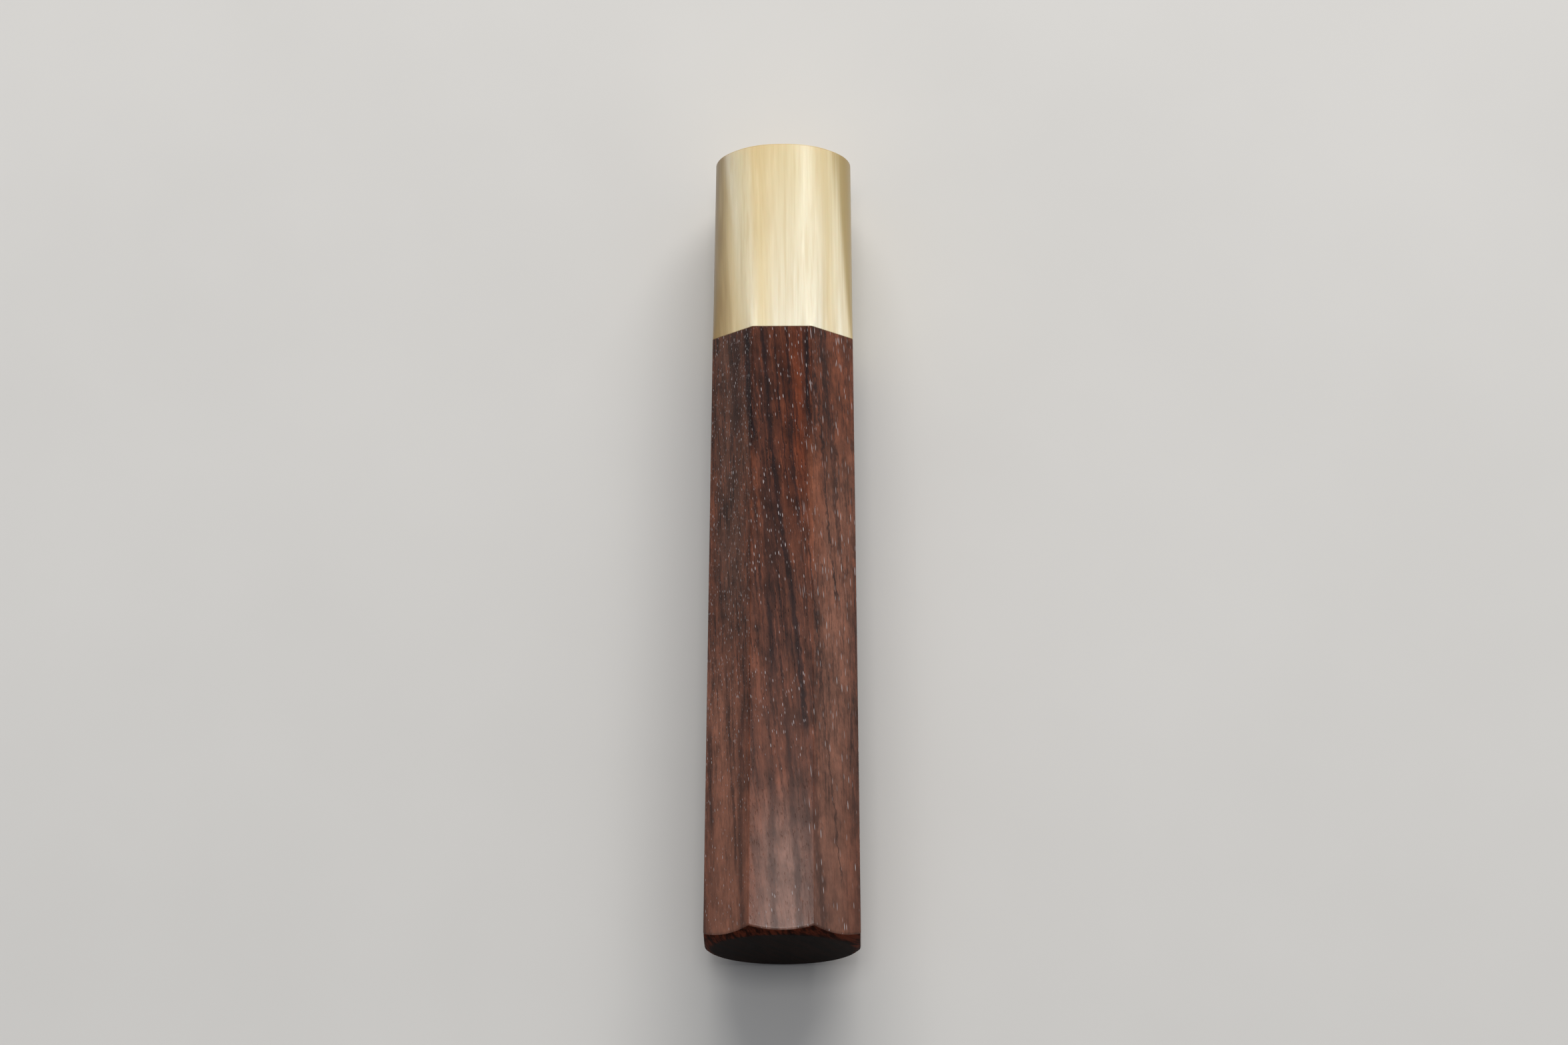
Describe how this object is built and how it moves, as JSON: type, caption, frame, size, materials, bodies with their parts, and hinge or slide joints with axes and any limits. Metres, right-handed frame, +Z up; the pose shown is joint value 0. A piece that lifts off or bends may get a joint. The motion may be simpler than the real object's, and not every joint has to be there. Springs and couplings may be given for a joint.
{
  "type": "octagonal knife handle",
  "caption": "Tapered octagonal rosewood knife handle with a blond horn ferrule that turns oval at its front, and a dowel core with a blind tang slot.",
  "frame": {"origin": "on the surface the handle lies on, below the middle of its length and width", "axes": "+Y along the handle from the butt to the ferrule's front, +Z up from the surface, +X to the right when looking along +Y. The handle's own axis tips 0.6 degrees down towards +Y, because the taper leaves the bottom facet level."},
  "size_m": [0.0254, 0.1352, 0.0268],
  "materials": {
    "rosewood": "satin",
    "horn": "satin",
    "dowel_wood": "matte"
  },
  "bodies": {
    "root": {"handle_body": "rosewood", "horn_ferrule": "horn", "dowel_half_left": "dowel_wood", "dowel_half_right": "dowel_wood"}
  },
  "joints": []
}
